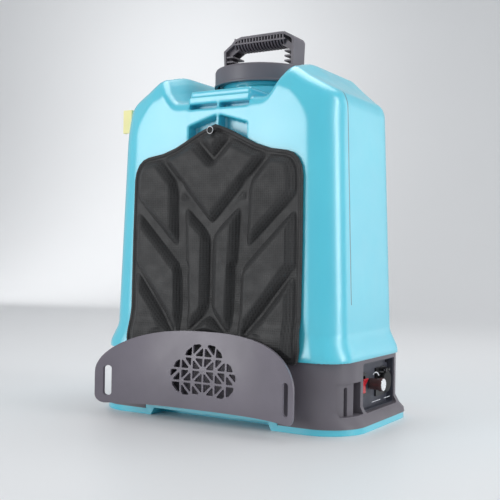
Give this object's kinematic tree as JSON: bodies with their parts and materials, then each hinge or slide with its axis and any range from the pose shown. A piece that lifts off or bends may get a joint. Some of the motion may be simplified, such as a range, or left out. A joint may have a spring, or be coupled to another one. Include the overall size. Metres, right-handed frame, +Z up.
{
  "type": "backpack electrostatic sprayer",
  "caption": "Backpack disinfectant sprayer: blow-moulded tank with screw lid and carry handle, back cushion, curved vented lumbar plate and an electrics base with a side control panel.",
  "frame": {"origin": "on the floor under the centre of the tank, at the underside of the bottom tray", "axes": "+Z up, +Y away from the wearer's back, +X to the side with the control panel"},
  "size_m": [0.402, 0.2738, 0.54],
  "materials": {
    "tray_aqua": "satin moulded",
    "screw_steel": "zinc plated",
    "base_grey": "fine grain moulded",
    "panel_slate": "fine grain with light markings",
    "screw_black": "blackened",
    "bezel_black": "gloss",
    "rocker_red": "gloss",
    "pot_metal": "satin",
    "knob_black": "gloss, knurled",
    "knob_white": "spun satin",
    "socket_black": "satin",
    "flap_rubber": "matt",
    "pin_steel": "polished",
    "battery_blue": "shrink wrapped",
    "strap_steel": "bent sheet",
    "board_green": "solder mask",
    "potted_black": "potted",
    "pump_black": "moulded",
    "can_steel": "drawn can",
    "hose_clear": "clear vinyl",
    "hose_black": "matt",
    "spigot_black": "moulded",
    "tank_aqua": "satin blow-moulded",
    "filter_white": "moulded",
    "gasket_black": "matt",
    "lid_grey": "satin moulded",
    "clip_yellow": "moulded",
    "cushion_charcoal": "knitted mesh over foam, welded channels",
    "button_metal": "blackened ring",
    "plate_grey": "satin moulded"
  },
  "bodies": {
    "sprayer": {"bottom_tray": "tray_aqua", "tray_screws": "screw_steel", "base_housing": "base_grey", "control_panel": "panel_slate", "panel_screws": "screw_black", "switch_bezel": "bezel_black", "speed_pot": "pot_metal", "charge_socket": "socket_black", "flap_pin": "pin_steel", "battery_pack": "battery_blue", "battery_strap": "strap_steel", "control_board": "board_green", "hv_module": "potted_black", "pump_bracket": "strap_steel", "pump_head": "pump_black", "motor_can": "can_steel", "suction_hose": "hose_clear", "delivery_hose": "hose_black", "outlet_spigot": "spigot_black", "tank_shell": "tank_aqua", "tank_screws": "screw_steel", "tank_outlet": "spigot_black", "suction_filter": "filter_white", "strainer_basket": "filter_white", "wand_clip": "clip_yellow", "back_cushion": "cushion_charcoal", "cushion_button": "button_metal", "lumbar_plate": "plate_grey", "lumbar_brackets": "plate_grey", "lumbar_screws": "screw_black"},
    "seal": {"lid_gasket": "gasket_black"},
    "lid": {"lid": "lid_grey", "vent_valve": "spigot_black", "carry_handle": "lid_grey", "handle_screws": "screw_steel"},
    "rocker": {"rocker": "rocker_red"},
    "knob": {"speed_knob": "knob_black", "knob_disc": "knob_white"},
    "flap": {"charge_flap": "flap_rubber"},
    "motor_shaft": {"motor_shaft": "pin_steel"}
  },
  "joints": [
    {"name": "lid_lift", "type": "slide", "parent": "sprayer", "child": "seal", "axis": [0, 0, 1], "range_m": [0, 0.0181]},
    {"name": "lid_turn", "type": "hinge", "parent": "seal", "child": "lid", "pos_m": [0, 0.02, 0.475], "axis": [0, 0, 1], "range_deg": [0, 1080]},
    {"name": "rocker_tilt", "type": "hinge", "parent": "sprayer", "child": "rocker", "pos_m": [0.177, -0.019, 0.054], "axis": [0, 1, 0], "range_deg": [-24, 0]},
    {"name": "speed_dial", "type": "hinge", "parent": "sprayer", "child": "knob", "pos_m": [0.178, 0.008, 0.053], "axis": [1, 0, 0], "range_deg": [0, 280]},
    {"name": "charge_flap_swing", "type": "hinge", "parent": "sprayer", "child": "flap", "pos_m": [0.1884, 0.042, 0.069], "axis": [0, -1, 0], "range_deg": [0, 110]},
    {"name": "motor_spin", "type": "hinge", "parent": "sprayer", "child": "motor_shaft", "pos_m": [0.06, 0.03, 0.044], "axis": [1, 0, 0], "continuous": true}
  ],
  "couplings": [
    {"joint": "lid_lift", "follows": "lid_turn", "m_per_rad": 0.00095493}
  ]
}
